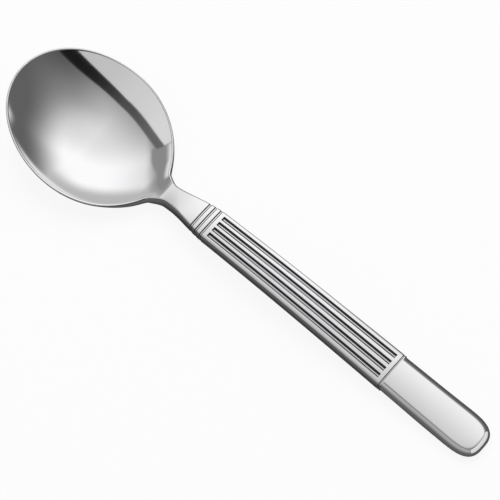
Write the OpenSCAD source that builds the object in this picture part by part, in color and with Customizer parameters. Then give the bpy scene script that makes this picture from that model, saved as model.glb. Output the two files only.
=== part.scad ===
// Soup spoon with a deep oval bowl, a short neck, a ringed collar, a fluted grip and a plain rounded end.
// It lies along X with the bowl's tip at low X. Z is up, and the table that it rests on is at zero.
// Every piece is a row of cross-sections drawn by the same functions, so neighbours meet face to face.

/* [Overall] */
// Length from the bowl's tip to the end of the handle
spoon_l = 170; // [150:1:210]

/* [Bowl] */
// Length of the bowl, from its tip to the neck
bowl_l = 56; // [50:0.5:64]
// Width of the bowl across its widest place
bowl_w = 42.6; // [36:0.2:50]
// Distance from the tip back to the widest place
bowl_waist = 26.6; // [22:0.1:30]
// Distance from the widest place back to where the bowl's round outline would close
bowl_back = 25.7; // [24:0.1:32]
// Depth of the hollow below the line of the rim
hollow_depth = 6.5; // [5:0.05:9]
// Distance from the tip to the deepest place under the rim
hollow_front = 25; // [20:0.5:30]
// Distance from that place back to the heel of the hollow
hollow_back = 29.5; // [25:0.5:30]
// Wall under the middle of the hollow
floor_t = 1.4; // [1:0.1:2]
// Wall at the rim, measured upright
rim_t = 1.5; // [1:0.1:2]
// Reach of the rim's rounded edge
rim_r = 0.8; // [0.4:0.05:0.9]
// Height of the rim at the tip
tip_z = 14.6; // [10:0.1:17]
// Height of the rim at the widest place
waist_z = 9.4; // [8:0.1:11]
// Height of the rim at the heel
heel_z = 5.2; // [4:0.1:8]
// Distance from the neck forward to the lowest place of the rim
heel_l = 8; // [6:0.5:10]

/* [Neck] */
// Length of the neck
neck_l = 10.8; // [8:0.2:16]
// Width of the neck at its narrowest
neck_w = 6.5; // [4:0.1:8]
// Thickness of the neck
neck_t = 5.3; // [2:0.1:6]
// Height of the neck's top face, measured at a set distance behind the bowl
neck_z = 8.4; // [7.5:0.1:11]
// That distance behind the bowl
neck_station = 7; // [5:0.5:8]
// Straight run of the neck before it flares
neck_straight = 0.8; // [0.5:0.1:3]
// Reach across of the fillets that join the neck to the bowl
fillet_w = 3.8; // [0.5:0.1:4]
// Length of those fillets, from the lowest place of the rim back
fillet_l = 8.4; // [6:0.1:14]
// Distance in front of the lowest place of the rim where the bowl's wall starts to thicken into the neck
root_l = 6; // [4:0.5:12]
// Length over which it thickens
root_run = 16.5; // [10:0.5:20]

/* [Handle] */
// Width of the handle where the grip starts
grip_w = 10.2; // [8:0.1:13]
// Width of the handle where its end starts to round
end_w = 12.5; // [9:0.1:16]
// Thickness of the handle
handle_t = 4.75; // [2.5:0.05:5.5]
// Height of the top face at its highest place
crest_z = 8.95; // [8.5:0.05:13]
// Distance of that place behind the collar
crest_station = 10; // [6:0.5:16]
// Height of the top face at the very end
end_z = 4.1; // [2.6:0.05:4.5]
// Rise of the top face from its edges to its middle
crown = 0.35; // [0.1:0.05:0.8]
// Reach of the rounded edges
edge_r = 0.9; // [0.5:0.05:1.2]

/* [Collar] */
// Length of the collar
collar_l = 6.2; // [5.6:0.1:8]
// Distance from the neck to the middle of the first ring
ring_inset = 0.8; // [0.6:0.1:1]
// Distance from ring to ring
ring_pitch = 1.88; // [1.5:0.02:2.2]
// Width of a ring's groove between its upper edges
ring_w = 0.9; // [0.5:0.05:1.2]
// Depth of a ring's groove
ring_depth = 0.35; // [0.2:0.05:0.6]
// Number of rings
ring_count = 3; // [2:1:3]

/* [Flutes] */
// Width of one flute
flute_w = 1.5; // [0.7:0.05:1.6]
// Depth of one flute
flute_depth = 0.8; // [0.3:0.05:0.9]

/* [Plain end] */
// Length of the plain end
end_l = 32.2; // [24:0.2:44]
// Length of the band between the flutes and the plain end
band_l = 2.05; // [1.6:0.05:4]
// Distance from the flutes to the middle of the band's groove
band_inset = 1.5; // [1.1:0.05:1.55]
// Width of the band's groove
band_groove_w = 0.6; // [0.4:0.05:0.8]
// Reach of the end's rounded edge, larger than the grip's
end_r = 2; // [1:0.1:2.4]
// Length of the rounded part of the end
cap_l = 9.4; // [5:0.1:12]
// Length of the flat underneath that rests on the table
foot_l = 8; // [5:0.5:12]
// Length over which the underside runs down to that flat
foot_run = 18; // [12:1:26]

/* [Hidden] */

// Steps along each piece
bowl_steps = 46;
neck_steps = 12;
grip_steps = 16;
end_steps = 28;

// Places along X where the pieces meet
x_tip = -spoon_l / 2;
x_end = spoon_l / 2;
x_waist = x_tip + bowl_waist;
x_neck = x_tip + bowl_l;
x_heel = x_neck - heel_l;
x_flare = x_neck + neck_straight;
x_collar = x_neck + neck_l;
x_grip = x_collar + collar_l;
x_plain = x_end - end_l;
x_band = x_plain - band_l;
x_cap = x_end - cap_l;
x_foot = x_end - end_r - foot_l;
x_hollow = x_tip + hollow_front;

// A short step used to measure slopes, and the gap kept from the two very ends
probe = rim_r / 100;
tip_gap = rim_r / 35;

// Slopes of the top line at its stations
tip_slope = -0.12;
waist_slope = -0.17;
heel_slope = -0.07;
neck_slope = 0.13;
end_slope = -0.045;

// Powers of the curves: the back of the outline, the back of the hollow, its floor, the handle's end,
// and the blend of the bowl's outline with the neck's
outline_power = 0.58;
heel_power = 1.4;
floor_power = 1.35;
cap_power = 3;
blend_power = 5;

// Squareness of the edge, 1 for a half round, less for a squarer edge
rim_edge_share = 1;
handle_edge_share = 0.62;

// Places of the points across a flute and on an edge, and the flutes' places as shares of the half width
flute_point_shares = [-1, -0.8, -0.6, -0.4, -0.2, 0.2, 0.4, 0.6, 0.8, 1];
flute_floor_share = 0.2;
flute_place_shares = [0.205, 0.615];
plain_point_shares = [0.14, 0.28, 0.42, 0.56, 0.7, 0.85];
ring_point_shares = [-1, -0.8, -0.62, -0.43, -0.25, 0.25, 0.43, 0.62, 0.8, 1];
ring_floor_share = 0.25;
edge_angles = [75, 60, 45, 30, 15];

silver = "silver";

// Middles of the grooves that run across the handle
rings = [for (i = [0 : ring_count - 1]) x_collar + ring_inset + i * ring_pitch];
band_groove = x_band + band_inset;

// The top line: [place, height, slope] at each station from the tip to the end
stations = [
    [x_tip, tip_z, tip_slope],
    [x_waist, waist_z, waist_slope],
    [x_heel, heel_z, heel_slope],
    [x_neck + neck_station, neck_z, neck_slope],
    [x_grip + crest_station, crest_z, 0],
    [x_end, end_z, end_slope]
];

function clamp01(t) = min(max(t, 0), 1);

// A smooth step from 0 to 1
function ease(t) = let (c = clamp01(t)) c * c * (3 - 2 * c);

// The smooth curve from one station to the next, with both slopes kept
function between(p, q, x) =
    let (h = q[0] - p[0], t = (x - p[0]) / h, t2 = t * t, t3 = t2 * t)
    (2 * t3 - 3 * t2 + 1) * p[1] + (t3 - 2 * t2 + t) * h * p[2]
    + (3 * t2 - 2 * t3) * q[1] + (t3 - t2) * h * q[2];

// Height of the rim along the bowl, and of the top face along the handle
function line_z(x, i = 0) =
    i == len(stations) - 2 || x <= stations[i + 1][0]
    ? between(stations[i], stations[i + 1], x)
    : line_z(x, i + 1);

// Half width of the bowl alone: a quarter ellipse in front of the waist and a fuller curve behind it
function bowl_half(x) =
    x < x_waist
    ? bowl_w / 2 * sqrt(max(0, 1 - pow((x_waist - x) / bowl_waist, 2)))
    : bowl_w / 2 * pow(max(0, 1 - pow((x - x_waist) / bowl_back, 2)), outline_power);

// Half width of the neck and handle alone
function bar_half(x) =
    let (
        flared = neck_w / 2 + (grip_w - neck_w) / 2 * ease((x - x_flare) / (x_grip - x_flare)),
        widened = flared + (end_w - grip_w) / 2 * clamp01((x - x_grip) / (x_cap - x_grip)),
        into_cap = clamp01((x - x_cap) / cap_l)
    )
    widened * pow(1 - pow(into_cap, cap_power), 1 / cap_power);

// Half width of the whole spoon. The neck fades out well inside the bowl, and soft fillets join the two.
function half_w(x) =
    let (
        a = bowl_half(x),
        joined = bar_half(x) + fillet_w * (1 - ease((x - x_heel) / fillet_l)),
        b = joined * ease((x - x_hollow) / (x_neck - x_hollow))
    )
    pow(pow(a, blend_power) + pow(b, blend_power), 1 / blend_power);

// How much of the full depth the hollow has at place x, at a share v of the half width
function hollow_share(x, v) =
    let (
        front = 1 - pow((x_hollow - x) / hollow_front, 2),
        back = pow(max(0, 1 - pow((x - x_hollow) / hollow_back, 2)), heel_power),
        along = x < x_hollow ? front : back
    )
    1 - pow(clamp01(1 - along * (1 - v * v)), floor_power);

// Thickness of the bar: the rim's at the bowl, then the neck's, then the handle's
function bar_t(x) =
    rim_t + (neck_t - rim_t) * ease((x - x_heel + root_l) / root_run)
    + (handle_t - neck_t) * ease((x - x_neck - neck_l / 2) / (neck_l + collar_l));

// Height of the line under the bar, which runs down onto the table at the end
function under_line_z(x) =
    (line_z(x) - bar_t(x)) * (1 - ease((x - x_foot + foot_run) / foot_run));

// How deep a groove is at a share s of its half width: a flat floor between two smooth walls
function groove_share(s, floor_share) = 1 - ease((abs(s) - floor_share) / (1 - floor_share));

function ring_share(x) =
    let (
        ring_cuts = [for (r = rings) groove_share((x - r) / (ring_w / 2), ring_floor_share)],
        band_cut = groove_share((x - band_groove) / (band_groove_w / 2), ring_floor_share)
    )
    max(concat([band_cut], ring_cuts));

// Heights of the upper and the under face at place x, at a share v of the half width
function upper_z(x, v) =
    line_z(x) - hollow_depth * hollow_share(x, v) - crown * ease((x - x_heel) / (x_grip - x_heel)) * v * v;

function under_z(x, v) =
    under_line_z(x) - (hollow_depth + floor_t - rim_t) * hollow_share(x, v);

// How full the section still is near the very tip and the very end, so that both are rounded
function fullness(x) =
    let (r = x < 0 ? rim_r : end_r, e = min(x - x_tip, x_end - x) / r)
    e < 1 ? sqrt(1 - pow(1 - e, 2)) : 1;

// Reach of the rounded edge across Y, longer where the outline turns in
function edge_reach(x, w, soft) =
    let (
        r = soft ? end_r : rim_r + (edge_r - rim_r) * ease((x - x_heel) / (x_collar - x_heel)),
        turn = (half_w(x + probe) - half_w(x - probe)) / (2 * probe)
    )
    min(0.92 * w, r * sqrt(1 + turn * turn));

// One column of a section: [distance from the middle, upper height, under height]
function column(x, w, y, drop) =
    let (
        up = upper_z(x, y / w),
        low = under_z(x, y / w),
        half = (up - low) / 2 * fullness(x),
        middle = (up + low) / 2
    )
    [y, middle + half - drop - ring_depth * ring_share(x), middle - half];

// Places across the top, from the middle outwards, as [distance, drop]
function flute_points(centre) =
    [for (s = flute_point_shares)
        [centre + s * flute_w / 2, flute_depth * groove_share(s, flute_floor_share)]];

function top_points(w, flat, fluted) =
    let (
        flutes = [for (f = flute_place_shares) each flute_points(f * w)],
        plain = [for (s = plain_point_shares) [s * flat, 0]]
    )
    concat([[0, 0]], fluted ? flutes : plain, [[flat, 0]]);

// The half section on the +Y side, from the middle to the side
function half_section(x, fluted, soft) =
    let (
        w = half_w(x),
        reach = edge_reach(x, w, soft),
        flat = w - reach,
        edge = column(x, w, flat, 0),
        cut = ring_depth * ring_share(x),
        mid = (edge[1] + cut + edge[2]) / 2,
        high = (edge[1] + cut - edge[2]) / 2,
        rise = (upper_z(x, (flat + probe) / w) - upper_z(x, (flat - probe) / w)) / (2 * probe),
        squared = ease((x - x_heel) / (x_collar - x_heel)),
        power = soft ? rim_edge_share : rim_edge_share + (handle_edge_share - rim_edge_share) * squared
    )
    concat(
        [for (p = top_points(w, flat, fluted)) column(x, w, p[0], p[1])],
        [for (a = edge_angles)
            let (out = reach * pow(cos(a), power), up = high * pow(sin(a), power))
            [flat + out - cut * cos(a), mid + rise * out + up - cut * sin(a), mid + rise * out - up]],
        [[w - cut, mid + rise * reach, mid + rise * reach]]
    );

// The closed section: over the top from -Y to +Y and back underneath
function section(x, fluted, soft) =
    let (h = half_section(x, fluted, soft), m = len(h) - 1)
    concat(
        [for (i = [m : -1 : 1]) [x, -h[i][0], h[i][1]]],
        [for (i = [0 : m]) [x, h[i][0], h[i][1]]],
        [for (i = [m - 1 : -1 : 0]) [x, h[i][0], h[i][2]]],
        [for (i = [1 : m - 1]) [x, -h[i][0], h[i][2]]]
    );

// Triangles that close a section of n points, in strips from the top to the underside
function cap_faces(n, first, flip) =
    let (
        half = n / 2,
        tris = [for (c = [0 : half - 1])
            let (t0 = c, t1 = c + 1, b1 = c + 1 == half ? half : n - c - 1, b0 = c == 0 ? 0 : n - c)
            each concat(t1 == b1 ? [] : [[t0, t1, b1]], t0 == b0 ? [] : [[t0, b1, b0]])]
    )
    [for (t = tris) [for (i = flip ? [2, 1, 0] : [0, 1, 2]) first + t[i]]];

// A solid through sections at the given places, with flutes or with a softer edge if it is asked for
module loft(places, fluted = false, soft = false) {
    sections = [for (x = places) section(x, fluted, soft)];
    n = len(sections[0]);
    last = len(places) - 1;
    sides = [
        for (i = [0 : last - 1], j = [0 : n - 1])
            let (k = (j + 1) % n, a = i * n + j, b = i * n + k, c = (i + 1) * n + k, d = (i + 1) * n + j)
            each [[a, b, c], [a, c, d]]
    ];
    points = [for (s = sections) each s];
    polyhedron(points, concat(sides, cap_faces(n, 0, true), cap_faces(n, last * n, false)));
}

// Places from one end of a piece to the other, closer together at both ends
function crowded(from, to, steps, crowd) =
    [for (i = [0 : steps]) let (u = i / steps) from + (to - from) * (u - crowd * sin(360 * u) / (2 * PI))];

// The deep oval bowl, from the rounded tip to the neck
module bowl() {
    color(silver) loft(crowded(x_tip + tip_gap, x_neck, bowl_steps, 0.82));
}

// The neck, which climbs out of the bowl's heel and flares into the handle
module neck() {
    color(silver) loft(crowded(x_neck, x_collar, neck_steps, 0));
}

// The collar: a short length of handle with rings cut across it
module collar() {
    cuts = [for (r = rings, s = ring_point_shares) r + s * ring_w / 2];
    color(silver) loft(concat([x_collar], cuts, [x_grip]));
}

// The grip, with flutes along its top face
module fluted_grip() {
    color(silver) loft(crowded(x_grip, x_band, grip_steps, 0), true);
}

// The land behind the flutes, with one groove across it
module rear_band() {
    cuts = [for (s = ring_point_shares) band_groove + s * band_groove_w / 2];
    color(silver) loft(concat([x_band], cuts, [x_plain]));
}

// The plain end, rounded in plan and flat underneath where it rests
module plain_end() {
    color(silver) loft(crowded(x_plain, x_end - tip_gap, end_steps, 0), soft = true);
}

bowl();
neck();
collar();
fluted_grip();
rear_band();
plain_end();
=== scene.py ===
# %% [markdown]
# # A soup spoon in polished steel
# The real spoon is one steel forging: a blank is rolled thin at one end, cut out, pressed into a bowl,
# struck between dies that cut the rings and flutes, and polished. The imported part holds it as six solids
# that meet face to face. A spoon could be sculpted by hand or subdivided from a few faces, but its charm
# is in long even curves, and a mirror finish shows every ripple. So each length is rebuilt here as a
# surface of two parameters, place along the spoon and place round its section, from the same few sizes
# that the solids have.

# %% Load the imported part
import math

import bpy
import numpy as np
from mathutils import Matrix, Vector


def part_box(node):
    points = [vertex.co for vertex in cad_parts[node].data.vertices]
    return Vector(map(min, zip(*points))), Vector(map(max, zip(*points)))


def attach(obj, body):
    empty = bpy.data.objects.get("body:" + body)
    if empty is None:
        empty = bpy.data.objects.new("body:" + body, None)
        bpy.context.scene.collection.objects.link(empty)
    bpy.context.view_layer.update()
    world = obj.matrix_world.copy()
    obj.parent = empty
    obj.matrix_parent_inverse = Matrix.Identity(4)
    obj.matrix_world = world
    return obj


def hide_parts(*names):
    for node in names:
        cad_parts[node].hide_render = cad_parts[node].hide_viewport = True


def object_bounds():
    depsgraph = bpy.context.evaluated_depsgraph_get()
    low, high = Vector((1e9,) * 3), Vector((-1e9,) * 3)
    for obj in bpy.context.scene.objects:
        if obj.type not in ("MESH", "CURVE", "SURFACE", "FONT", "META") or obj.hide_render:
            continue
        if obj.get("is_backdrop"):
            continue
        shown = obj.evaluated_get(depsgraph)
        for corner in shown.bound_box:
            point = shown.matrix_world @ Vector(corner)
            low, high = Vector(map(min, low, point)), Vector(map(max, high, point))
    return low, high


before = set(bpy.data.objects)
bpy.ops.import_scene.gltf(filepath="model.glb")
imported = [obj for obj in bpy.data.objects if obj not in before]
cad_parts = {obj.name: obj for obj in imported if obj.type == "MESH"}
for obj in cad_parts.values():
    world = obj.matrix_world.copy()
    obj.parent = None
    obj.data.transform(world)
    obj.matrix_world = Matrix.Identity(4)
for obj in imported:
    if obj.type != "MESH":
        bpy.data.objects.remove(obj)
solid_low, solid_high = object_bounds()
print("solids:", sorted(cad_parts), "low", tuple(solid_low), "high", tuple(solid_high))

# %% [markdown]
# ## Places along the spoon
# A smith thinks of a spoon as stations: tip, widest place, heel, neck, crest, end. The joints between the
# zones are read from the solids' boxes, so the surfaces begin and end exactly where the solids do. The
# sizes are in millimetres, as on a drawing, and become metres only when a mesh is made.

# %% Stations
MM = 0.001
# tip to widest place, heel to neck, tip to deepest place, and length of the rounded cap
WAIST_RUN, HEEL_RUN, HOLLOW_FRONT, CAP_RUN = 26.6, 8, 25, 9.4


def span(node):
    """First and last place of a solid along the spoon, in millimetres."""
    low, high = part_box(node)
    return low.x / MM, high.x / MM


TIP, NECK = span("bowl")
COLLAR, GRIP = span("collar")
BAND, PLAIN = span("rear_band")
END = span("plain_end")[1]
TIP, END = round(TIP, 1), round(END, 1)
WAIST, HEEL, HOLLOW, CAP = TIP + WAIST_RUN, NECK - HEEL_RUN, TIP + HOLLOW_FRONT, END - CAP_RUN
# place, height and slope of the rim or top face
STATIONS = [
    (TIP, 14.6, -0.12), (WAIST, 9.4, -0.17), (HEEL, 5.2, -0.07),
    (NECK + 7, 8.4, 0.13), (GRIP + 10, 8.95, 0.0), (END, 4.1, -0.045),
]
print("tip %.1f, neck %.2f, collar %.2f, grip %.2f, band %.2f, plain %.2f, end %.1f"
      % (TIP, NECK, COLLAR, GRIP, BAND, PLAIN, END))

# %% [markdown]
# ## The top line
# Seen from the side, a spoon is one flowing line: down along the rim, up the neck, and gently down the
# handle. It could be drawn as a Bezier curve, but a formula keeps it smooth to the last digit, which a
# polished surface needs.

# %% Top line


def ease(t):
    """A step from 0 to 1 with level ends: three t squared less two t cubed."""
    t = np.clip(t, 0, 1)
    return t * t * (3 - 2 * t)


def top_line(x):
    """Height of the rim or top face: a cubic between stations that keeps each one's height and slope."""
    z = np.zeros_like(x)
    for (x0, z0, m0), (x1, z1, m1) in zip(STATIONS[:-1], STATIONS[1:]):
        t = (x - x0) / (x1 - x0)
        cubic = ((2 * t ** 3 - 3 * t ** 2 + 1) * z0 + (t ** 3 - 2 * t ** 2 + t) * (x1 - x0) * m0
                 + (3 * t ** 2 - 2 * t ** 3) * z1 + (t ** 3 - t ** 2) * (x1 - x0) * m1)
        z = np.where(x > x0, cubic, z) if x0 > TIP else cubic
    return z


places = np.array([TIP + 5, WAIST, HEEL, NECK, GRIP, CAP])
print("top", np.round(top_line(places), 2))

# %% [markdown]
# ## The outline
# Seen from above, the bowl is an egg with its full end behind, and the handle is a bar that flares and
# widens. The forging has no corner where they meet, so the two half widths are blended by high powers:
# each is kept where it is much the wider, and they melt together in between.

# %% Outline
# the bowl: half width, length behind its widest place, fullness there, and the power of the blend
BOWL_HALF, BACK_RUN, OUTLINE_POWER, BLEND = 21.3, 25.7, 0.58, 5.0
# the bar: half widths at neck, grip and end, and where it begins to flare
NECK_HALF, GRIP_HALF, END_HALF, FLARE = 3.25, 5.1, 6.25, NECK + 0.8
# the fillets at the bar's root: reach and length
FILLET, FILLET_RUN = 3.8, 8.4


def half_width(x):
    """Half the outline's width: a quarter ellipse to the waist, a fuller curve behind it, blended by equal
    powers into a bar with fillets at its root that flares to the grip and widens to the rounded end."""
    front = BOWL_HALF * np.sqrt(np.clip(1 - ((WAIST - x) / WAIST_RUN) ** 2, 0, None))
    back = BOWL_HALF * np.clip(1 - ((x - WAIST) / BACK_RUN) ** 2, 0, None) ** OUTLINE_POWER
    bowl = np.where(x < WAIST, front, back)
    bar = (NECK_HALF + (GRIP_HALF - NECK_HALF) * ease((x - FLARE) / (GRIP - FLARE))
           + (END_HALF - GRIP_HALF) * np.clip((x - GRIP) / (CAP - GRIP), 0, 1))
    bar = bar * np.clip(1 - np.clip((x - CAP) / (END - CAP), 0, 1) ** 3, 0, None) ** (1 / 3)
    bar = bar + FILLET * (1 - ease((x - HEEL) / FILLET_RUN))
    bar = bar * ease((x - HOLLOW) / (NECK - HOLLOW))
    return (bowl ** BLEND + bar ** BLEND) ** (1 / BLEND)


print("half widths", np.round(half_width(places), 2))

# %% [markdown]
# ## The hollow and the thickness
# The press pushes the hollow into a thin wall, and the wall thickens into the neck. Depth and thickness
# are two more formulas, and together with the top line they give the height of both faces at any place.

# %% Hollow and thickness
# depth, length behind the deepest place, and the powers of the back and of the floor
HOLLOW_DEPTH, HOLLOW_BACK, HEEL_POWER, FLOOR_POWER = 6.5, 29.5, 1.4, 1.35
# wall under the hollow and at the rim, thickness of neck and handle, and rise of the top face to its middle
FLOOR_T, RIM_T, NECK_T, HANDLE_T, CROWN = 1.4, 1.5, 5.3, 4.75, 0.35
# where the wall starts to thicken in front of the heel, and over what length
ROOT_START, ROOT_RUN = 6.0, 16.5
# reaches of the rounded edges at the rim, the handle and the end
RIM_R, EDGE_R, END_R = 0.8, 0.9, 2.0
# the flat underneath that rests on the table, and the run down to it
FOOT_L, FOOT_RUN = 8, 18.0
FOOT = END - END_R - FOOT_L


def hollow(x, v):
    """Share of the full depth at place x and share v of the half width: a curve along times a parabola
    across, taken from 1, raised to the floor's power and taken from 1 again, which flattens the floor."""
    front = 1 - ((HOLLOW - x) / (HOLLOW - TIP)) ** 2
    back = np.clip(1 - ((x - HOLLOW) / HOLLOW_BACK) ** 2, 0, None) ** HEEL_POWER
    along = np.where(x < HOLLOW, front, back)
    return 1 - np.clip(1 - along * (1 - v * v), 0, 1) ** FLOOR_POWER


def thickness(x):
    """Thickness of the bar: the rim's, then the neck's, then the handle's."""
    return (RIM_T + (NECK_T - RIM_T) * ease((x - HEEL + ROOT_START) / ROOT_RUN)
            + (HANDLE_T - NECK_T) * ease((x - (NECK + COLLAR) / 2) / (GRIP - NECK)))


def under_line(x):
    """Height under the bar, run down to the table over the last stretch."""
    return (top_line(x) - thickness(x)) * (1 - ease((x - FOOT + FOOT_RUN) / FOOT_RUN))


def upper(x, v):
    """Height of the upper face: the top line, less the hollow, less the crown towards the sides."""
    return top_line(x) - HOLLOW_DEPTH * hollow(x, v) - CROWN * ease((x - HEEL) / (GRIP - HEEL)) * v * v


def lower(x, v):
    """Height of the under face, a wall's thickness below the upper one."""
    return under_line(x) - (HOLLOW_DEPTH + FLOOR_T - RIM_T) * hollow(x, v)


print("middle of the top", np.round(upper(places, 0), 2), "and underneath", np.round(lower(places, 0), 2))

# %% [markdown]
# ## Rings and flutes
# On the real spoon both are struck by the die. They could be a bump map, but they are deep enough to hide
# their own floors, so they are real grooves here, each with a flat floor between two steep walls. The
# polishing wheel rides over the walls and leaves them dull, and they are also darkened with painted
# shade; both are kept for the material as an attribute.

# %% Rings and flutes
# first ring and rear groove behind the starts of their zones, and from one ring to the next
RING_START, BAND_START, RING_PITCH = 0.8, 1.5, 1.88
RING_PLACES = COLLAR + RING_START + RING_PITCH * np.arange(3)
BAND_PLACE = BAND + BAND_START
# widths and depths, and the flat floors as shares of the width
RING_WIDTH, BAND_WIDTH, RING_DEPTH, RING_FLOOR = 0.9, 0.6, 0.35, 0.25
FLUTE_WIDTH, FLUTE_DEPTH, FLUTE_FLOOR = 1.5, 0.8, 0.12
# places of the flutes as shares of the half width
FLUTE_SHARES = (0.205, 0.615)


def groove(s, floor):
    """Depth share of a groove at a share s of its half width: 1 on its flat floor, then a smooth step
    up the wall."""
    return 1 - ease((np.abs(s) - floor) / (1 - floor))


def ring_cut(x):
    """Depth of the cuts across the handle."""
    cut = np.zeros_like(x)
    for place, width in [(p, RING_WIDTH) for p in RING_PLACES] + [(BAND_PLACE, BAND_WIDTH)]:
        cut = np.maximum(cut, groove(np.clip((x - place) / (width / 2), -1, 1), RING_FLOOR))
    return RING_DEPTH * cut


def flute_cut(s):
    """Depth of a flute at a share s of its half width."""
    return FLUTE_DEPTH * groove(s, FLUTE_FLOOR)


print("rings at", np.round(RING_PLACES, 2), "rear groove at", round(BAND_PLACE, 2))

# %% [markdown]
# ## One section, drawn as strips
# A section of the spoon has a top, two rounded edges and an underside. Each is a strip of its own: inside
# a strip the surface is smooth, and where two strips meet there may be a crease, as at a flute's edge. A
# strip is a grid of places, with x along the spoon and the other parameter across.

# %% Faces
# short steps that measure slopes along and across, and the most of the half width that an edge may take
TURN_STEP, RISE_STEP, MOST_REACH = 0.005, 0.007, 0.92


def slanted_reach(x, w, reach):
    """A reach across, longer where the outline turns in: the reach times the length of its slant."""
    turn = (half_width(x + TURN_STEP) - half_width(x - TURN_STEP)) / (2 * TURN_STEP)
    return np.minimum(MOST_REACH * w, reach * np.sqrt(1 + turn * turn))


def edge_reach(x, w):
    """How far the rounded edge of bowl and handle reaches across."""
    return slanted_reach(x, w, RIM_R + (EDGE_R - RIM_R) * ease((x - HEEL) / (COLLAR - HEEL)))


def fullness(x):
    """How full the section is near the two ends, a quarter circle, so that tip and end are rounded."""
    r = np.where(x < 0, RIM_R, END_R)
    e = np.clip(np.minimum(x - TIP, END - x) / r, 0, 1)
    return np.sqrt(1 - (1 - e) ** 2)


def face_heights(x, y, w):
    """Heights of the upper and under face at place x and distance y from the middle line."""
    up, low = upper(x, y / w), lower(x, y / w)
    half, middle = (up - low) / 2 * fullness(x), (up + low) / 2
    return middle + half, middle - half


def flat_strip(x, across, drop=0.0, under=False):
    """A strip of the upper or under face. across gives distances from the middle, one row for each x."""
    w = half_width(x)[:, None]
    up, low = face_heights(x[:, None], across, w)
    z = low if under else up - drop - ring_cut(x)[:, None]
    return np.stack([x[:, None] + 0 * across, across, z], -1)


w = half_width(places)
print("reach of the edge", np.round(edge_reach(places, w), 2))

# %% [markdown]
# ## The rounded edge
# The rim of the bowl is ground to a half round, and the handle's edge is squarer, as the dies leave it.
# One formula does both: a quarter ellipse whose sines and cosines are raised to a power that falls below
# 1 behind the neck. The rings run over the edge too, and cut less inwards there than they cut down.

# %% Rounded edge
# power of the squarer edge on the handle, and share of a ring's depth that cuts inwards
EDGE_POWER, INWARD_SHARE = 0.62, 0.4


def edge_strip(x, angles, under=False):
    """The rounded edge: a quarter of a squared-off ellipse between a face and the outermost line."""
    w = half_width(x)
    reach = edge_reach(x, w)
    flat, cut = w - reach, ring_cut(x)
    up, low = face_heights(x, flat, w)
    rise = (upper(x, (flat + RISE_STEP) / w) - upper(x, (flat - RISE_STEP) / w)) / (2 * RISE_STEP)
    power = (1 + (EDGE_POWER - 1) * ease((x - HEEL) / (COLLAR - HEEL)))[:, None]
    out = reach[:, None] * np.cos(angles) ** power
    lift = ((up - low) / 2)[:, None] * np.sin(angles) ** power
    inward, down = INWARD_SHARE * cut[:, None] * np.cos(angles), cut[:, None] * np.sin(angles)
    middle = ((up + low) / 2)[:, None] + rise[:, None] * out
    y = flat[:, None] + out - inward
    z = middle - lift if under else middle + lift - down
    return np.stack([x[:, None] + 0 * y, y, z], -1)


outermost = edge_strip(np.array([NECK]), np.zeros(1))[0, 0]
print("outermost point where the bowl ends", np.round(outermost, 2))

# %% [markdown]
# ## Half a section
# Bowl, neck, collar and band need one strip on top. The grip's top is split into lands and flutes. The
# spoon is the same on both sides, so half a section is enough, and the mesh is mirrored later.

# %% Half a section
# places across a flute and across a land
FLUTE_COLUMNS, LAND_COLUMNS = 29, 7


def top_strips(x, w, flat):
    """The top of the grip: a land, then a flute and a land for each flute, out to the rounded edge."""
    s, t = np.linspace(-1, 1, FLUTE_COLUMNS), np.linspace(0, 1, LAND_COLUMNS)
    strips, before = [], 0 * w
    for share in FLUTE_SHARES:
        centre = share * w
        start = centre - FLUTE_WIDTH / 2
        strips.append(flat_strip(x, before[:, None] + (start - before)[:, None] * t))
        strips.append(flat_strip(x, centre[:, None] + s * FLUTE_WIDTH / 2, flute_cut(s)))
        before = centre + FLUTE_WIDTH / 2
    return strips + [flat_strip(x, before[:, None] + (flat - before)[:, None] * t)]


def section_strips(x, fluted, columns, edge_steps):
    """The strips of half a spoon on its +Y side, from the middle of the top to the middle underneath."""
    w = half_width(x)
    flat = w - edge_reach(x, w)
    shares, angles = np.linspace(0, 1, columns), np.linspace(np.pi / 2, 0, edge_steps)
    strips = top_strips(x, w, flat) if fluted else [flat_strip(x, flat[:, None] * shares)]
    strips.append(edge_strip(x, angles))
    strips.append(edge_strip(x, angles[::-1], under=True))
    strips.append(flat_strip(x, flat[:, None] * np.linspace(1, 0, columns), under=True))
    return strips


print("a fluted section has", len(section_strips(np.linspace(0, 10, 5), True, 40, 12)), "strips a side")

# %% [markdown]
# ## The plain end
# The end is rounded both in plan and at its edge, and a mirror shows any crease where the two meet. So
# its edge follows the true distance from the outline, which is the same all the way round the corner.

# %% Plain end
# smallest share across, which keeps the slope finite in the middle
LEAST_SHARE = 1e-6


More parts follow.
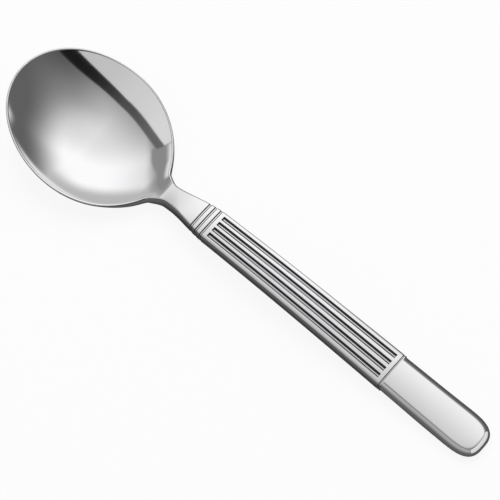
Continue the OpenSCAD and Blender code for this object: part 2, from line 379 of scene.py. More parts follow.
def end_section_strips(x, columns, edge_steps):
    """The strips of the plain end. With u and v the shares along the cap and across,
    F = 1 - (u^3 + v^3)^(1/3) is 0 on the outline, and the distance is F divided by the length of
    its gradient."""
    w = half_width(x)
    bar = (GRIP_HALF + (END_HALF - GRIP_HALF) * np.clip((x - GRIP) / (CAP - GRIP), 0, 1))[:, None]
    reach = slanted_reach(x, w, END_R)
    flat = w - reach
    u = np.clip((x - CAP) / (END - CAP), 0, 1)[:, None]

    def strip(y, under):
        """Both faces close in as a quarter circle of the distance t from the outline."""
        v = np.clip(y / bar, LEAST_SHARE, None)
        total = u ** 3 + v ** 3
        slope = np.hypot(u ** 2 / (END - CAP), v ** 2 / bar) * total ** (-2 / 3)
        t = np.clip((1 - total ** (1 / 3)) / slope / END_R, 0, 1)
        share = np.sqrt(1 - (1 - t) ** 2)
        up, low = upper(x[:, None], y / w[:, None]), lower(x[:, None], y / w[:, None])
        half, middle = (up - low) / 2 * share, (up + low) / 2
        return np.stack([x[:, None] + 0 * y, y, middle - half if under else middle + half], -1)

    angles = np.linspace(np.pi / 2, 0, edge_steps)
    rim = flat[:, None] + reach[:, None] * np.cos(angles)
    rim[:, -1] = w
    top = flat[:, None] * np.linspace(0, 1, columns)
    return [strip(top, False), strip(rim, False), strip(rim[:, ::-1], True), strip(top[:, ::-1], True)]


print("the plain end has", len(end_section_strips(np.linspace(PLAIN, CAP, 5), 40, 12)), "strips a side")

# %% [markdown]
# ## Dull groove walls with painted shade
# A polishing wheel can't reach into a groove, so its walls are rougher, and they are also darkened with
# painted shade. The mesh carries an attribute that says how much of a point is groove wall, and the steel
# reads it. Painting it by hand or by a texture would never follow the walls so closely.

# %% Dull walls and painted shade
# how fast a wall turns dull and takes painted shade in a ring and in a flute, and the height share that
# parts top from underside
RING_DULL_SHADE, FLUTE_DULL_SHADE, TOP_SHARE = 6, 5.2, 0.6
# how near two places count as the same one
NEAR = 0.01


def wall_share(g, sharpness):
    """Sharpness times g times (1 - g) for a depth share g, cut off at 1: it peaks half way up a wall."""
    return np.clip(sharpness * g * (1 - g), 0, 1)


def walls(loop):
    """Share of groove wall at each point of the rings and flutes, and 0 on floors, lands and underneath."""
    x = loop[:, 0, 0]
    ring = (ring_cut(x) / RING_DEPTH)[:, None] + 0 * loop[..., 0]
    under = loop[..., 2] < under_line(x)[:, None] + TOP_SHARE * thickness(x)[:, None]
    y, w = np.abs(loop[..., 1]), half_width(x)[:, None]
    along = np.zeros_like(y)
    if GRIP - NEAR <= x[0] and x[-1] <= BAND + NEAR:
        for share in FLUTE_SHARES:
            s = np.clip((y - share * w) / (FLUTE_WIDTH / 2), -1, 1)
            along = np.maximum(along, wall_share(groove(s, FLUTE_FLOOR), FLUTE_DULL_SHADE))
    # the share makes a wall rougher and darkens it with painted shade in the steel
    return np.where(under, 0, np.maximum(wall_share(ring, RING_DULL_SHADE), along))


print("wall at depth shares 0, 0.5 and 1:", wall_share(np.array([0, 0.5, 1]), FLUTE_DULL_SHADE))

# %% [markdown]
# ## From strips to a closed mesh
# Neighbouring strips share their border points, so the mesh is closed. Each face corner gets its own
# normal from its own strip, worked out from the neighbouring grid places. Smooth shading alone would
# smear the light over the creases and show a seam where two of the six lengths meet, and these normals do
# neither.

# %% Closed rings of points


def grid_normals(p):
    """Unit normals of a grid of points, pointing outwards: the steps along crossed with those across."""
    along = np.gradient(p, axis=0, edge_order=2)
    across = np.gradient(p, axis=1, edge_order=2)
    n = np.cross(along, across)
    return n / np.maximum(np.linalg.norm(n, axis=-1, keepdims=True), 1e-12)


def closed_loop(strips):
    """The points of half a section's strips, joined and mirrored into rings, and the two normals at the
    first and last corner of the face that starts at each point."""
    normals = [grid_normals(s) for s in strips]
    half = np.concatenate([strips[0][:, :1]] + [s[:, 1:] for s in strips], 1)
    n_in = np.concatenate([n[:, :-1] for n in normals], 1)
    n_out = np.concatenate([n[:, 1:] for n in normals], 1)
    flip = np.array([1, -1, 1])
    loop = np.concatenate([half, (half * flip)[:, -2:0:-1]], 1)
    start = np.concatenate([n_in, (n_out * flip)[:, ::-1]], 1)
    stop = np.concatenate([n_out, (n_in * flip)[:, ::-1]], 1)
    return loop, start, stop


def side_faces(rows, count):
    """Quads between neighbouring rings, one for each point of a ring."""
    i, j = np.meshgrid(np.arange(rows - 1), np.arange(count), indexing="ij")
    k = (j + 1) % count
    quads = np.stack([i * count + j, (i + 1) * count + j, (i + 1) * count + k, i * count + k], -1)
    return quads.reshape(-1, 4)


def end_faces(rows, count):
    """Faces square to the spoon that close the first ring and the last, in slices from side to side."""
    m = count // 2
    c = np.arange(1, m - 1)
    slices = np.stack([c, c + 1, count - 1 - c, count - c], -1)
    corners = [[0, 1, count - 1], [m - 1, m, m + 1]]
    last = (rows - 1) * count
    first = slices.tolist() + corners
    return first, (slices + last)[:, ::-1].tolist() + [[v + last for v in reversed(f)] for f in corners]


print("a ring of 8 points is closed by", end_faces(2, 8)[0])

# %% [markdown]
# ## One length of the spoon
# A length is its side faces, its two end faces, its normals and its attribute, all handed to Blender as
# whole arrays. The end faces are hidden inside the spoon, where two lengths touch, but each piece is
# closed without its neighbours.

# %% Mesh of a length


def add_object(name, data):
    """A new object at the origin, in the scene."""
    thing = bpy.data.objects.new(name, data)
    bpy.context.scene.collection.objects.link(thing)
    return thing


def body_mesh(name, strips):
    """A closed piece from the strips of half a section."""
    loop, start, stop = closed_loop(strips)
    rows, count = loop.shape[:2]
    first, last = end_faces(rows, count)
    faces = side_faces(rows, count).tolist() + first + last
    corner = np.stack([start[:-1], start[1:], stop[1:], stop[:-1]], 2).reshape(-1, 3)
    end_corners = sum(len(f) for f in first)
    forward, backward = np.tile([[1.0, 0, 0]], (end_corners, 1)), np.tile([[-1.0, 0, 0]], (end_corners, 1))
    mesh = bpy.data.meshes.new(name)
    mesh.from_pydata((loop.reshape(-1, 3) * MM).tolist(), [], faces)
    mesh.polygons.foreach_set("use_smooth", np.ones(len(faces), bool))
    mesh.normals_split_custom_set(np.concatenate([corner, backward, forward]).tolist())
    mesh.attributes.new("wall_share", "FLOAT", "POINT").data.foreach_set("value", walls(loop).ravel())
    return add_object(name, mesh)


def made(name, node, strips):
    """A length of the spoon that replaces its solid."""
    piece = body_mesh(name, strips)
    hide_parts(node)
    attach(piece, "root")
    print(name, len(piece.data.vertices), "points,", len(piece.data.polygons), "faces")
    return piece


print("a length is written as made(name, solid, strips)")

# %% [markdown]
# ## Bowl and neck
# Each length stands for the solid of the same zone and rides on the one body. The bowl has more places
# near its tip, where the outline turns fast.

# %% Bowl and neck
FINE = 1
# gap kept from the two very ends, and the counts of places across the top and round an edge
END_GAP, BOWL_COLUMNS, COLUMNS, EDGE_STEPS, END_EDGE_STEPS = 0.02, 84, 60, 15, 21


def places_between(start, stop, count, crowd=0.0):
    """Places from one end to the other, closer together at both ends as crowd nears 1."""
    u = np.linspace(0, 1, count)
    return start + (stop - start) * (u - crowd * np.sin(2 * np.pi * u) / (2 * np.pi))


x = places_between(TIP + END_GAP, NECK, int(240 * FINE), crowd=0.93)
bowl = made("bowl_surface", "bowl", section_strips(x, False, BOWL_COLUMNS, EDGE_STEPS))
x = places_between(NECK, COLLAR, int(70 * FINE))
neck = made("neck_surface", "neck", section_strips(x, False, COLUMNS, EDGE_STEPS))

# %% [markdown]
# ## Collar, grip, band and end
# The collar and the band have their places in and beside their grooves, so that each wall is drawn by
# many rows. The grip runs on evenly, and so do its places. The plain end has more places near its tip, as
# the bowl has.

# %% Collar, grip, band and end
# places along one groove, as shares of its half width
GROOVE_SHARES = np.linspace(-1, 1, 17)

cuts = np.concatenate([p + RING_WIDTH / 2 * GROOVE_SHARES for p in RING_PLACES])
lands = np.concatenate([np.linspace(COLLAR, RING_PLACES[0] - RING_WIDTH / 2, 4)[:-1],
                        np.linspace(RING_PLACES[-1] + RING_WIDTH / 2, GRIP, 8)[1:]])
x = np.sort(np.concatenate([cuts, lands]))
collar = made("collar_surface", "collar", section_strips(x, False, COLUMNS, EDGE_STEPS))
x = places_between(GRIP, BAND, int(120 * FINE))
grip = made("grip_surface", "fluted_grip", section_strips(x, True, COLUMNS, EDGE_STEPS))
cuts = BAND_PLACE + BAND_WIDTH / 2 * GROOVE_SHARES
x = np.concatenate([np.linspace(BAND, cuts[0], 6)[:-1], cuts, np.linspace(cuts[-1], PLAIN, 4)[1:]])
band = made("band_surface", "rear_band", section_strips(x, False, COLUMNS, EDGE_STEPS))
x = places_between(PLAIN, END - END_GAP, int(160 * FINE), crowd=0.9)
end = made("end_surface", "plain_end", end_section_strips(x, COLUMNS, END_EDGE_STEPS))

# %% [markdown]
# ## Two helpers for shader nodes
# A material is a small calculation. Nodes could be placed and wired one line at a time, but then the sum
# is hard to read. One helper makes a node with its settings and inputs, and the other lets a sum be
# written as calls.

# %% Helpers for shader nodes


def add_node(tree, kind, inputs=None, **settings):
    """A shader node with its settings first, and then each input linked to a socket or given a value."""
    node = tree.nodes.new(kind)
    for key, value in settings.items():
        setattr(node, key, value)
    for key, value in (inputs or {}).items():
        if isinstance(value, bpy.types.NodeSocket):
            tree.links.new(value, node.inputs[key])
        else:
            node.inputs[key].default_value = value
    return node


class Chain:
    """Writes a sum as shader nodes in one tree, one call for each step."""

    def __init__(self, tree):
        self.tree = tree

    def __call__(self, operation, *values, clamp=False):
        inputs = dict(enumerate(values))
        node = add_node(self.tree, "ShaderNodeMath", inputs, operation=operation, use_clamp=clamp)
        return node.outputs[0]

    def step(self, value, low, high):
        """A smooth step from 0 at low to 1 at high."""
        inputs = {"Value": value, "From Min": low, "From Max": high}
        node = add_node(self.tree, "ShaderNodeMapRange", inputs, interpolation_type="SMOOTHSTEP")
        return node.outputs["Result"]

    def mix(self, share, a, b):
        """a where share is 0 and b where it is 1."""
        return self("MULTIPLY_ADD", share, self("SUBTRACT", b, a), a)

    def reach(self, vector, axis):
        """How far a vector reaches along an axis: their dot product."""
        inputs = {0: vector, 1: tuple(axis)}
        return add_node(self.tree, "ShaderNodeVectorMath", inputs, operation="DOT_PRODUCT").outputs["Value"]


print("operations are written as c(NAME, value, value)")

# %% [markdown]
# ## Fine wear
# Real mirror polish is never perfect. Wiping leaves long faint marks, use leaves hairline scratches in
# every direction, and fingers leave cloudy places. Image textures could give that, but noise stretched
# along an axis does it at any size. The marks change roughness and tilt the normal a little, so they show
# only in reflections.

# %% Wear shared by both finishes
# turn of each set of hairlines, and how many times longer than wide its marks are
HAIRLINE_SETS = ((0.35, 40.0), (1.45, 26.0), (2.6, 33.0))
# marks in a metre along a hairline, the noise that counts as one, and cloudy places in a metre
HAIRLINE_SCALE, HAIRLINE_RANGE, CLOUD_SCALE = 260, (0.68, 0.82), 95.0


def wear_group():
    """Fine wear: hairlines in three directions, long wiping marks and cloudy places, as one height for the
    normal and one mask for the roughness."""
    group = bpy.data.node_groups.new("fine_wear", "ShaderNodeTree")
    ways = {"Hairlines": "INPUT", "Clouding": "INPUT", "Height": "OUTPUT", "Mask": "OUTPUT"}
    for name, way in ways.items():
        group.interface.new_socket(name=name, in_out=way, socket_type="NodeSocketFloat")
    source, c = add_node(group, "NodeGroupInput"), Chain(group)
    place = add_node(group, "ShaderNodeTexCoord").outputs["Object"]
    total = None
    for turn, stretch in HAIRLINE_SETS:
        scale = (HAIRLINE_SCALE, HAIRLINE_SCALE * stretch, HAIRLINE_SCALE * stretch)
        turned = {"Vector": place, "Rotation": (0, 0, turn), "Scale": scale}
        stretched = add_node(group, "ShaderNodeMapping", turned).outputs["Vector"]
        noise = add_node(group, "ShaderNodeTexNoise", {"Vector": stretched, "Scale": 1.0, "Detail": 2.0,
                                                       "Roughness": 0.6})
        low, high = HAIRLINE_RANGE
        limits = {"Value": noise.outputs["Fac"], "From Min": low, "From Max": high}
        thin = add_node(group, "ShaderNodeMapRange", limits, clamp=True).outputs["Result"]
        total = thin if total is None else c("MAXIMUM", total, thin)
    lines = c("MULTIPLY", total, source.outputs["Hairlines"])
    clouds = add_node(group, "ShaderNodeTexNoise", {"Vector": place, "Scale": CLOUD_SCALE, "Detail": 4.0,
                                                    "Roughness": 0.55})
    cloudy = c("MULTIPLY", clouds.outputs["Fac"], source.outputs["Clouding"])
    add_node(group, "NodeGroupOutput", {"Height": lines, "Mask": c("ADD", lines, cloudy, clamp=True)})
    return group


WEAR = wear_group()
print("fine wear has", len(WEAR.nodes), "nodes")

# %% [markdown]
# ## Two finishes of one steel
# The bowl, the neck and the end are polished to a mirror. The struck lengths between them can't be
# reached as well by the wheel, so they are a little rougher, and their groove walls are rougher still and
# darkened with painted shade.
# Both finishes are one material recipe with other values.

# %% Polished and struck steel
# tint where light grazes the steel, and the painted shade colour and the roughness of a groove's wall
EDGE_TINT = (0.2, 0.2, 0.21, 1)
WALL_SHADE_COLOUR, WALL_ROUGHNESS = (0.09, 0.09, 0.095, 1), 0.3
# height of a hairline in metres, and how strongly it tilts the normal
HAIRLINE_DEPTH, HAIRLINE_TILT = 0.000004, 0.5


def steel(name, colour, worn_colour, hairlines, clouding, smooth, rough):
    """Steel whose roughness and colour move between two values with the wear's mask, and groove walls that
    are rougher and darkened with painted shade.
    """
    material = bpy.data.materials.new(name)
    material.use_nodes = True
    tree = material.node_tree
    shader = tree.nodes["Principled BSDF"]
    shader.inputs["Metallic"].default_value = 1.0
    shader.inputs["Specular Tint"].default_value = EDGE_TINT
    wear = add_node(tree, "ShaderNodeGroup", node_tree=WEAR)
    wear.inputs["Hairlines"].default_value = hairlines
    wear.inputs["Clouding"].default_value = clouding
    mask = wear.outputs["Mask"]
    wall = add_node(tree, "ShaderNodeAttribute", attribute_name="wall_share").outputs["Fac"]
    between = add_node(tree, "ShaderNodeMapRange", {"Value": mask, "To Min": smooth, "To Max": rough})
    dull = add_node(tree, "ShaderNodeMix", {"Factor": wall, "A": between.outputs["Result"],
                                            "B": WALL_ROUGHNESS})
    tint = add_node(tree, "ShaderNodeMix", {"Factor": mask, "A": (*colour, 1), "B": (*worn_colour, 1)},
                    data_type="RGBA")
    # painted shade: the base colour of a groove's wall is mixed towards a dark grey
    dark = add_node(tree, "ShaderNodeMix", {"Factor": wall, "A": tint.outputs["Result"], "B": WALL_SHADE_COLOUR},
                    data_type="RGBA")
    bump = add_node(tree, "ShaderNodeBump", {"Distance": HAIRLINE_DEPTH, "Strength": HAIRLINE_TILT,
                                             "Height": wear.outputs["Height"]}, invert=True)
    tree.links.new(dull.outputs["Result"], shader.inputs["Roughness"])
    tree.links.new(dark.outputs["Result"], shader.inputs["Base Color"])
    tree.links.new(bump.outputs["Normal"], shader.inputs["Normal"])
    return material


polished = steel("polished_steel", (0.86, 0.86, 0.87), (0.80, 0.80, 0.81),
                 hairlines=0.35, clouding=0.4, smooth=0.045, rough=0.2)
struck = steel("struck_steel", (0.84, 0.84, 0.85), (0.76, 0.76, 0.77),
               hairlines=0.5, clouding=0.5, smooth=0.07, rough=0.26)
for piece, material, slot in ((bowl, polished, "polished_steel"), (neck, polished, "polished_steel"),
                              (end, polished, "polished_steel"), (collar, struck, "fluted_steel"),
                              (grip, struck, "fluted_steel"), (band, struck, "fluted_steel")):
    piece.data.materials.append(material)
    print(piece.name, "is", material.name)

# %% [markdown]
# ## The camera
# The picture was taken from above and in front, with a long lens that keeps the spoon's proportions. The
# camera is turned by two angles about the spoon, so that its own right and ahead directions can be used
# again to say where things stand in the studio.

# %% Camera
LOOK_TURN, LOOK_DOWN = math.radians(40.48), math.radians(68)
LENS_PIXELS, PICTURE_PIXELS, SENSOR, DISTANCE = 2600, 500, 36, 0.7322
AIM = np.array([-0.927, 1.943, 5.0]) * MM
right = np.array([math.cos(LOOK_TURN), math.sin(LOOK_TURN), 0])
ahead = np.array([-math.sin(LOOK_TURN), math.cos(LOOK_TURN), 0])
view = ahead * math.cos(LOOK_DOWN) - np.array([0, 0, math.sin(LOOK_DOWN)])


def placed(side, up, back, place):
    """The matrix of a thing at a place, from the directions of its own three axes."""
    matrix = np.eye(4)
    matrix[:3, 0], matrix[:3, 1], matrix[:3, 2], matrix[:3, 3] = side, up, back, place
    return Matrix(matrix.tolist())


lens = bpy.data.cameras.new("camera")
lens.sensor_width = SENSOR
lens.lens = SENSOR * LENS_PIXELS / PICTURE_PIXELS
lens.clip_start, lens.clip_end = 0.05, 50
camera = add_object("camera", lens)
camera.matrix_world = placed(right, np.cross(right, view), -view, AIM - view * DISTANCE)
bpy.context.scene.camera = camera
bpy.context.scene.view_settings.view_transform = "Standard"
print("camera at", np.round(AIM - view * DISTANCE, 3))

# %% [markdown]
# ## The tent that reflections see
# A mirror has no look of its own: it shows the studio. Lamps alone would leave it black with a few hot
# spots. Photographers build a tent: a wide soft light overhead and behind, a grey side, a pale card
# opposite, and a black gap between them that draws the crisp dark stroke in the bowl. Here the tent is a
# dome that only reflections see. Its tones are drawn by direction from the spoon, in degrees away from
# straight up: p towards the right of the picture and q towards its top. In each step the two numbers are
# degrees. In a mix they are tones as a screen shows them, or degrees where the mix moves an edge.

# %% Wide light and grey flag
# tones of the wide light: far in front, near the middle, overhead and behind, and far right
FRONT_TONE, MIDDLE_TONE, OVERHEAD_TONE, RIGHT_TONE = 0.40, 0.74, 0.985, 0.37
# most tone low behind, and the flag's tones near and far to the left
BACK_MOST, FLAG_NEAR, FLAG_FAR = 0.72, 0.53, 0.85


def wide_light(c, p, q):
    """Bright overhead and behind, falling away to the front, the right and the left."""
    front = c.mix(c.step(q, -55, 5), FRONT_TONE, MIDDLE_TONE)
    front = c.mix(c("MULTIPLY", c.step(p, -2, 22), c.step(q, 14, -16)), front, c("MULTIPLY", front, 0.8))
    overhead = c.mix(c.step(q, -6, 30), front, OVERHEAD_TONE)
    overhead = c.mix(c.step(p, 14, -38), overhead, c("MULTIPLY", overhead, 0.86))
    overhead = c.mix(c.step(p, -22, -38), overhead, c("MULTIPLY", overhead, 0.7))
    later = c.step(q, 0, 30)
    wide = c.mix(c.step(p, c.mix(later, 18.0, 25.0), c.mix(later, 54.0, 62.0)), overhead, RIGHT_TONE)
    return c.mix(c.step(q, 50, 70), wide, c("MINIMUM", wide, BACK_MOST))


def with_flag(c, wide, p, q):
    """The wide light with a grey flag on the left, whose edge leans outwards as it goes back."""
    edge = c.mix(c.step(q, 24, 52), -28.0, -37.5)
    flag = c("MULTIPLY", c.step(p, edge, c("SUBTRACT", edge, 4.0)), c.step(q, 14.0, 16.0))
    return c.mix(flag, wide, c.mix(c.step(p, -48, -57), FLAG_NEAR, FLAG_FAR))


print("wide light from", FRONT_TONE, "in front to", OVERHEAD_TONE, "overhead")

# %% [markdown]
# ## The pale card and the black gap
# The dark stroke in the bowl is straight in the tent: a strip between the wide light and a pale card. It
# is measured from one point on the card's edge, across the edge and along it.

# %% Pale card, gap and horizon
# a point on the card's edge, and the direction across the edge
EDGE_P, EDGE_Q, ACROSS_P, ACROSS_Q = -40.5, 7.0, 0.789, 0.615
# tones of gap and card at the start of the edge and at its end
GAP_TONES, CARD_TONES = (0.38, 0.12), (0.83, 0.74)
# the gap's width in degrees, and how fast it widens along the edge
GAP_WIDTH, GAP_WIDENS = 9.8, 0.06
# tones near the horizon in front and elsewhere
LOW_TONES = (0.18, 0.92)


def with_card(c, wide, p, q):
    """The wide light with the gap and the card over its front."""
    from_p, from_q = c("SUBTRACT", p, EDGE_P), c("SUBTRACT", q, EDGE_Q)
    across = c("ADD", c("MULTIPLY", from_p, ACROSS_P), c("MULTIPLY", from_q, ACROSS_Q))
    along = c("SUBTRACT", c("MULTIPLY", from_p, ACROSS_Q), c("MULTIPLY", from_q, ACROSS_P))
    gap_width = c("ADD", c("MULTIPLY_ADD", along, GAP_WIDENS, GAP_WIDTH), c.step(along, 45, 70))
    inside = c.step(across, gap_width, c("SUBTRACT", gap_width, 1.5))
    tone = c.mix(c("MULTIPLY", inside, c.step(q, 17, 15)), wide, c.mix(c.step(along, 5, 75), *GAP_TONES))
    card = c("MULTIPLY", c.step(across, 0.8, -0.8), c.step(q, 16.5, 14.5))
    return c.mix(card, tone, c.mix(c.step(along, 0, 70), *CARD_TONES))


def with_horizon(c, tone, tilt, p, q):
    """The tent with its lowest part: dark near the horizon in front, bright behind and at both sides."""
    behind = c("MAXIMUM", c.step(q, 40, 60), c("MULTIPLY", c.step(p, 38, 50), c.step(q, -50, -40)))
    behind = c("MAXIMUM", behind, c("MULTIPLY", c.step(p, -40, -50), c.step(q, 0, 12)))
    start = c.mix(behind, 62.0, c.mix(c.step(q, 25, 45), 70.0, 80.0))
    return c.mix(c.step(tilt, start, c("ADD", start, 6.0)), tone, c.mix(behind, *LOW_TONES))


print("gap", GAP_WIDTH, "degrees wide, tones", GAP_TONES)

# %% [markdown]
# ## The dome itself
# The tones become light by the power 2.2, because a screen shows light that way round. The dome is a
# plain half sphere, and the camera, diffuse light and shadows don't see it.

# %% Dome
DISPLAY_POWER, DOME_GAIN, DOME_RADIUS = 2.2, 1.18, 4.0
# places round the dome and down it, and the angle by which it starts beside the pole and ends low
DOME_TURNS, DOME_TILTS, DOME_OVERLAP = 96, 40, 0.02


def bare_material(name):
    """A new material, its emptied node tree, and a chain to write sums in it."""
    material = bpy.data.materials.new(name)
    material.use_nodes = True
    material.node_tree.nodes.clear()
    return material, material.node_tree, Chain(material.node_tree)


def finish_material(tree, shader):
    """Send a shader to the surface."""
    add_node(tree, "ShaderNodeOutputMaterial", {"Surface": shader.outputs[0]})


def dome_material():
    """The tent's tone for each direction, raised to light."""
    material, tree, c = bare_material("studio_dome")
    place = add_node(tree, "ShaderNodeTexCoord").outputs["Object"]
    unit = add_node(tree, "ShaderNodeVectorMath", {0: place}, operation="NORMALIZE").outputs[0]
    a, b, up = c.reach(unit, right), c.reach(unit, ahead), c.reach(unit, (0, 0, 1))
    tilt = c("MULTIPLY", c("ARCCOSINE", up), math.degrees(1))
    level = c("MAXIMUM", c("SQRT", c("ADD", c("MULTIPLY", a, a), c("MULTIPLY", b, b))), 0.0001)
    p = c("MULTIPLY", tilt, c("DIVIDE", a, level))
    q = c("MULTIPLY", tilt, c("DIVIDE", b, level))
    tone = with_card(c, with_flag(c, wide_light(c, p, q), p, q), p, q)
    light = c("POWER", with_horizon(c, tone, tilt, p, q), DISPLAY_POWER)
    strength = c("MULTIPLY", light, DOME_GAIN)
    finish_material(tree, add_node(tree, "ShaderNodeEmission", {"Strength": strength}))
    return material


def dome_mesh():
    """Half a sphere as a grid of two angles, closed at the pole by one many-sided face."""
    turns = np.linspace(0, 2 * np.pi, DOME_TURNS + 1)[:-1]
    tilts = np.linspace(DOME_OVERLAP, np.pi / 2 + DOME_OVERLAP, DOME_TILTS)
    t, u = np.meshgrid(tilts, turns, indexing="ij")
    points = DOME_RADIUS * np.stack([np.sin(t) * np.cos(u), np.sin(t) * np.sin(u), np.cos(t)], -1)
    quads = np.roll(side_faces(DOME_TILTS, DOME_TURNS)[:, ::-1], 1, axis=1)
    mesh = bpy.data.meshes.new("studio_dome")
    mesh.from_pydata(points.reshape(-1, 3).tolist(), [], quads.tolist() + [list(range(DOME_TURNS))])
    return mesh


def only_for_reflections(thing):
    """Hide a thing from the camera, from diffuse light and from shadows."""
    thing.visible_camera = thing.visible_diffuse = thing.visible_shadow = False


dome = add_object("studio_dome", dome_mesh())
dome.data.materials.append(dome_material())
only_for_reflections(dome)
dome.visible_transmission = dome.visible_volume_scatter = False
dome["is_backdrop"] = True
print("dome has", len(dome.data.polygons), "faces")

# %% [markdown]
# ## Three small cards round the handle
# A polished edge looks solid only when it mirrors something darker than the tent, so photographers stand
# small cards close to it. A dark card stands behind the rear of the handle, a grey one in front and a
# white one past its end. All fade upwards, the dark and the grey one also fade towards the bowl, and only
# reflections see them.

# %% Cards
# a card stands this far over the table, and its tone starts to change a little below it, in metres
CARD_LIFT, CARD_BELOW = 0.001, -0.01


def card(name, start, stop, tones, fade_z, fade_x):
    """An upright card from start to stop on the table. Its tone runs between the first two of tones up to
    the height in the third. It fades out over the heights fade_z, and in over the places fade_x."""
    corners = [(*start, CARD_LIFT), (*stop, CARD_LIFT), (*stop, fade_z[1]), (*start, fade_z[1])]
    mesh = bpy.data.meshes.new(name)
    mesh.from_pydata(corners, [], [(0, 1, 2, 3)])
    material, tree, c = bare_material(name)
    place = add_node(tree, "ShaderNodeTexCoord").outputs["Object"]
    axes = add_node(tree, "ShaderNodeSeparateXYZ", {0: place}).outputs
    solid = c("MULTIPLY", c.step(axes["Z"], fade_z[1], fade_z[0]), c.step(axes["X"], *fade_x))
    tone = c.mix(c.step(axes["Z"], CARD_BELOW, tones[2]), tones[0], tones[1])
    clear = add_node(tree, "ShaderNodeBsdfTransparent").outputs[0]
    glow = add_node(tree, "ShaderNodeEmission", {"Strength": c("POWER", tone, DISPLAY_POWER)}).outputs[0]
    finish_material(tree, add_node(tree, "ShaderNodeMixShader", {0: solid, 1: clear, 2: glow}))
    thing = add_object(name, mesh)
    thing.data.materials.append(material)
    only_for_reflections(thing)
    thing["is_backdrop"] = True
    print(name, "is", round(fade_z[1] / MM), "mm high")


card("dark_card", (-0.02, 0.035), (0.10, 0.035), (0.33, 0.75, 0.07), (0.025, 0.074), (0.010, 0.045))
card("grey_card", (-0.02, -0.040), (0.14, -0.040), (0.36, 0.69, 0.030), (0.060, 0.110), (0.020, 0.065))
card("white_card", (0.1175, -0.025), (0.1025, 0.045), (0.88, 0.95, 0.05), (0.0375, 0.0575), (-0.1, 0.0))

# %% [markdown]
# ## The floor
# The floor is white in its own colour and is lifted to the white of paper for the camera, so no extra
# light falls on the spoon, and it still takes the spoon's soft shadow. Reflections see painted shade on it:
# a painted shadow close to the spoon, where its own shadow would be, and painted shade in front, where the
# photographer would be.

# %% Floor
FLOOR_HALF, FLOOR_DROP = 6.0, 0.0002
# colour of the paper, and the share of glow that lifts it for the camera
PAPER, CAMERA_SHARE = 0.9, 0.9
# light mirrored from the painted shadow close to the spoon, from the painted shade in front and from behind
PAINTED_SHADOW_LIGHT, FRONT_SHADE_LIGHT, FAR_LIGHT = 0.13, 0.2, 0.85
# half length of the painted shadow, how far from it that shadow fades, and where the floor lightens ahead
# out of its painted shade in front
PAINTED_SHADOW_HALF, PAINTED_SHADOW_FADE, AHEAD_FADE = 0.07, (0.03, 0.16), (-0.05, 0.3)


def floor_material():
    """White paper: diffuse, mixed with a white glow for the camera. The metal mirrors a pale floor behind
    the spoon, a painted shadow close to the spoon, and painted shade in front."""
    material, tree, c = bare_material("white_floor")
    rays = add_node(tree, "ShaderNodeLightPath").outputs
    mirrored = c("MAXIMUM", rays["Is Glossy Ray"], rays["Is Transmission Ray"])
    share = c("MAXIMUM", c("MULTIPLY", rays["Is Camera Ray"], CAMERA_SHARE), mirrored)
    place = add_node(tree, "ShaderNodeTexCoord").outputs["Object"]
    axes = add_node(tree, "ShaderNodeSeparateXYZ", {0: place}).outputs
    beyond = c("MAXIMUM", c("SUBTRACT", c("ABSOLUTE", axes["X"]), PAINTED_SHADOW_HALF), 0.0)
    away = c("SQRT", c("ADD", c("MULTIPLY", beyond, beyond), c("MULTIPLY", axes["Y"], axes["Y"])))
    # painted shade in front and a painted shadow close to the spoon, which only reflections see
    far = c.mix(c.step(c.reach(place, ahead), *AHEAD_FADE), FRONT_SHADE_LIGHT, FAR_LIGHT)
    shade = c.mix(c.step(away, *PAINTED_SHADOW_FADE), PAINTED_SHADOW_LIGHT, far)
    paper = add_node(tree, "ShaderNodeBsdfDiffuse", {"Color": (PAPER, PAPER, PAPER, 1)}).outputs[0]
    glow = add_node(tree, "ShaderNodeEmission", {"Strength": c.mix(mirrored, 1.0, shade)}).outputs[0]
    finish_material(tree, add_node(tree, "ShaderNodeMixShader", {0: share, 1: paper, 2: glow}))
    return material


floor_mesh = bpy.data.meshes.new("floor")
corners = [(a * FLOOR_HALF, b * FLOOR_HALF, 0) for a, b in ((-1, -1), (1, -1), (1, 1), (-1, 1))]
floor_mesh.from_pydata(corners, [], [(0, 1, 2, 3)])
floor = add_object("floor", floor_mesh)
floor.data.materials.append(floor_material())
floor.location.z = -FLOOR_DROP
floor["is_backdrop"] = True
print("floor", 2 * FLOOR_HALF, "m wide")

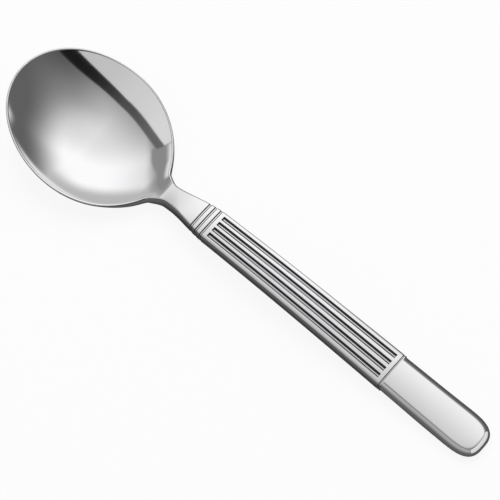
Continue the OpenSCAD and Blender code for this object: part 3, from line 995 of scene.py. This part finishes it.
# %% [markdown]
# ## The world
# The world is the backdrop beyond the floor. It is white to the camera and to reflections, and gives
# plain soft light at less than half that strength to everything else.

# %% World
SOFT_LIGHT = 0.45

world = bpy.data.worlds.new("studio")
world.use_nodes = True
bpy.context.scene.world = world
tree = world.node_tree
c = Chain(tree)
rays = add_node(tree, "ShaderNodeLightPath").outputs
seen = c("MAXIMUM", rays["Is Camera Ray"], c("MAXIMUM", rays["Is Glossy Ray"], rays["Is Transmission Ray"]))
backdrop = tree.nodes["Background"]
backdrop.inputs["Color"].default_value = (1, 1, 1, 1)
tree.links.new(c.mix(seen, SOFT_LIGHT, 1.0), backdrop.inputs["Strength"])
print("world gives", SOFT_LIGHT, "to diffuse surfaces and 1 to the camera")

# %% [markdown]
# ## The lamp
# One soft lamp overhead and a little behind gives the shadow its direction. Reflections don't see it,
# because the tent already shows them a soft light there.

# %% Lamp
# distance and size in metres, power in watts, and how much of its direction is ahead and up
LAMP_DISTANCE, LAMP_SIZE, LAMP_POWER, LAMP_AHEAD, LAMP_UP = 1.2, 0.9, 9, 0.55, 0.83


def softbox(name, place, size, power):
    """A square soft lamp aimed at the spoon."""
    lamp = bpy.data.lights.new(name, "AREA")
    lamp.shape, lamp.size, lamp.energy = "SQUARE", size, power
    thing = add_object(name, lamp)
    back = place / np.linalg.norm(place)
    side = np.cross((0, 0, 1), back)
    side /= np.linalg.norm(side)
    thing.matrix_world = placed(side, np.cross(back, side), back, place)
    thing.visible_glossy = False
    print(name, "at", np.round(place, 2))


lamp_place = LAMP_DISTANCE * (LAMP_AHEAD * ahead + np.array([0, 0, LAMP_UP]))
softbox("overhead_softbox", lamp_place, LAMP_SIZE, LAMP_POWER)

# %% [markdown]
# ## Sizes and the end
# The visible surfaces must fill the same box as the solids, so the difference between the two boxes is
# printed.

# %% Sizes
shown_low, shown_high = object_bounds()
pairs = zip((*shown_low, *shown_high), (*solid_low, *solid_high))
print("visual minus solid, mm:", [round((a - b) / MM, 3) for a, b in pairs])
